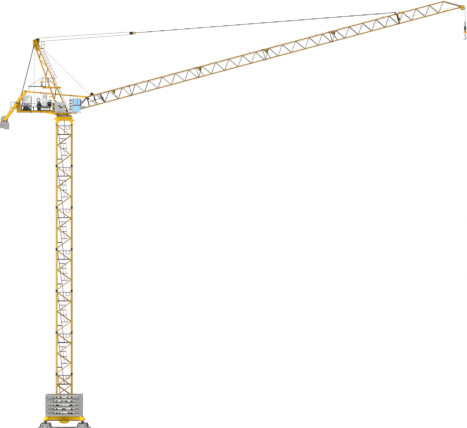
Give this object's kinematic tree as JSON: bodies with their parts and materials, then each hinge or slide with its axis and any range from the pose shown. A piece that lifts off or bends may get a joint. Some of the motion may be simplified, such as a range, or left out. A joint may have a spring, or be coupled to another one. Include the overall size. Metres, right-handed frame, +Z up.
{
  "type": "half-scale rail-mounted luffing jib tower crane",
  "caption": "Luffing tower crane on a rail undercarriage with stacked ballast, lattice mast, tie frame, swinging counterweight and lattice jib with hook block.",
  "frame": {"origin": "middle of the near rail's underside, straight below the tower's near side", "axes": "+Z up, +X along the track towards the jib's tip, +Y across the track to the far rail"},
  "size_m": [32.6186, 2.9006, 29.7823],
  "materials": {
    "rail_steel": "worn",
    "grey_paint": "satin",
    "dark_paint": "satin",
    "yellow_paint": "satin",
    "concrete": "cast",
    "zinc_steel": "galvanised",
    "cast_sheave": "machined",
    "cab_paint": "gloss",
    "cab_glass": "clear",
    "wire_rope": "oiled"
  },
  "bodies": {
    "base": {"track_rails": "rail_steel", "bogies": "grey_paint", "travel_wheels": "rail_steel", "corner_pivots": "dark_paint", "base_frame": "yellow_paint", "ballast_near": "concrete", "ballast_far": "concrete", "ballast_left": "concrete", "ballast_right": "concrete", "mast_near_side": "yellow_paint", "mast_far_side": "yellow_paint", "mast_left_side": "yellow_paint", "mast_right_side": "yellow_paint", "mast_platforms": "yellow_paint", "mast_ladders": "zinc_steel", "ring_support": "yellow_paint", "slewing_ring_lower": "dark_paint"},
    "upper": {"slewing_ring_upper": "dark_paint", "slewing_platform": "yellow_paint", "side_walkways": "zinc_steel", "a_frame": "yellow_paint", "mid_platform": "yellow_paint", "head_basket": "zinc_steel", "head_sheaves": "cast_sheave", "counter_jib": "yellow_paint", "deck_handrails": "yellow_paint", "luffing_winch": "dark_paint", "winch_hood": "grey_paint", "hoist_winch": "dark_paint", "control_cabinet": "grey_paint", "switch_cabinet": "grey_paint", "counter_jib_stays": "dark_paint", "service_davit": "yellow_paint", "cab_shell": "cab_paint", "cab_glass": "cab_glass", "winch_rope": "wire_rope"},
    "jib": {"jib_near_side": "yellow_paint", "jib_far_side": "yellow_paint", "jib_top_bracing": "yellow_paint", "jib_bottom_bracing": "yellow_paint", "jib_sheaves": "cast_sheave", "rope_rollers": "yellow_paint", "jib_hoist_rope": "wire_rope"},
    "coupling_rods": {"coupling_rods": "yellow_paint"},
    "counterweight_lever": {"counterweight_lever": "yellow_paint"},
    "counterweight": {"counterweight_hanger": "yellow_paint", "counterweight_block": "dark_paint"},
    "pendants": {"pendant_bars": "dark_paint", "luffing_block": "dark_paint"},
    "luffing_ropes": {"luffing_ropes": "wire_rope"},
    "hoist_rope_span": {"hoist_rope_span": "wire_rope"},
    "hook_falls": {"hook_falls": "wire_rope"},
    "hook_block": {"hook_block": "dark_paint"},
    "hook": {"hook": "dark_paint"}
  },
  "joints": [
    {"name": "slew", "type": "hinge", "parent": "base", "child": "upper", "pos_m": [0, 1.293, 21.8], "axis": [0, 0, 1], "continuous": true},
    {"name": "luff", "type": "hinge", "parent": "upper", "child": "jib", "pos_m": [0.404, 1.293, 22.0635], "axis": [0, -1, 0], "range_deg": [0, 55], "deforming": ["luffing_ropes", "hoist_rope_span"]},
    {"name": "lever", "type": "hinge", "parent": "upper", "child": "counterweight_lever", "pos_m": [-3.277, 1.293, 22.6656], "axis": [0, -1, 0], "range_deg": [0, 85.48]},
    {"name": "weight_pivot", "type": "hinge", "parent": "counterweight_lever", "child": "counterweight", "pos_m": [-4.16795, 1.293, 21.42571], "axis": [0, -1, 0], "range_deg": [-85.48, 0]},
    {"name": "rod_pivot", "type": "hinge", "parent": "jib", "child": "coupling_rods", "pos_m": [1.58937, 1.293, 23.09132], "axis": [0, -1, 0], "range_deg": [-45.67, 0]},
    {"name": "pendant_pivot", "type": "hinge", "parent": "jib", "child": "pendants", "pos_m": [23.08171, 1.293, 28.97958], "axis": [0, -1, 0], "range_deg": [0, 1.92]},
    {"name": "luffing_rope_pivot", "type": "hinge", "parent": "upper", "child": "luffing_ropes", "pos_m": [-1.861, 1.293, 27.071], "axis": [0, -1, 0], "range_deg": [0, 56.92]},
    {"name": "hoist_rope_pivot", "type": "hinge", "parent": "upper", "child": "hoist_rope_span", "pos_m": [-1.917, 1.293, 26.674], "axis": [0, -1, 0], "range_deg": [-9.31, 0]},
    {"name": "fall_pivot", "type": "hinge", "parent": "jib", "child": "hook_falls", "pos_m": [27.77438, 1.293, 29.31662], "axis": [0, -1, 0], "range_deg": [-55.01, 0]},
    {"name": "hoist", "type": "slide", "parent": "hook_falls", "child": "hook_block", "axis": [0, 0, -1], "range_m": [0, 27], "deforming": ["hook_falls"]},
    {"name": "hook_swivel", "type": "hinge", "parent": "hook_block", "child": "hook", "pos_m": [27.94058, 1.293, 27.5], "axis": [0, 0, 1], "continuous": true}
  ],
  "couplings": [
    {"joint": "lever", "follows": "luff", "ratio": 1.554},
    {"joint": "weight_pivot", "follows": "luff", "ratio": -1.554},
    {"joint": "rod_pivot", "follows": "luff", "ratio": -0.83017},
    {"joint": "pendant_pivot", "follows": "luff", "ratio": 0.034693},
    {"joint": "luffing_rope_pivot", "follows": "luff", "ratio": 1.0347},
    {"joint": "hoist_rope_pivot", "follows": "luff", "ratio": -0.16917},
    {"joint": "fall_pivot", "follows": "luff", "ratio": -1}
  ]
}
